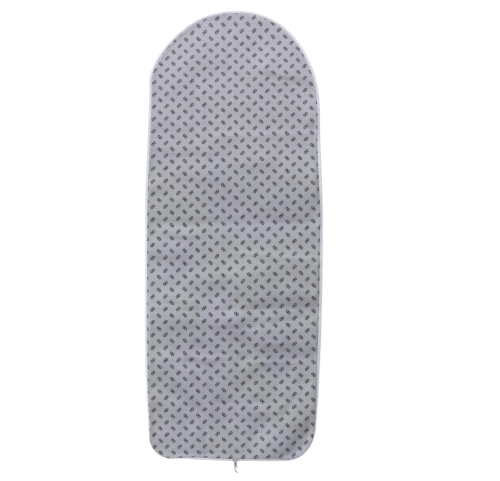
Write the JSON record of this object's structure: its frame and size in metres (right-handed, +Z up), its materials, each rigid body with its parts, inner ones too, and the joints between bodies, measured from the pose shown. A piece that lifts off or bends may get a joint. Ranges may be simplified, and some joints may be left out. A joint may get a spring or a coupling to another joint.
{
  "type": "ironing board cover",
  "caption": "Padded ironing board cover lying flat: printed face over thin foam, a white bound hem round a drawcord, and the cord's knotted ends at the tail.",
  "frame": {"origin": "on the surface that the cover lies on, under the middle of the box round the cover without its cord ends", "axes": "+Z up through the printed face, +Y along the cover from the square tail to the round nose"},
  "size_m": [0.5103, 1.3237, 0.0084],
  "materials": {
    "printed_cotton": "matte",
    "foam": "matte",
    "binding_tape": "matte",
    "cord": "matte",
    "thread": "satin"
  },
  "bodies": {
    "cover": {"face_fabric": "printed_cotton", "foam_pad": "foam", "edge_binding": "binding_tape", "drawcord": "cord", "needle_thread": "thread", "bobbin_thread": "thread", "left_bar_tack": "thread", "right_bar_tack": "thread"},
    "cord_ends": {"left_cord_leg": "cord", "right_cord_leg": "cord", "end_knot": "cord", "long_tail": "cord", "short_tail": "cord"}
  },
  "joints": [
    {"name": "cord_pull", "type": "slide", "parent": "cover", "child": "cord_ends", "axis": [0, -1, 0], "range_m": [0, 0.3]}
  ]
}
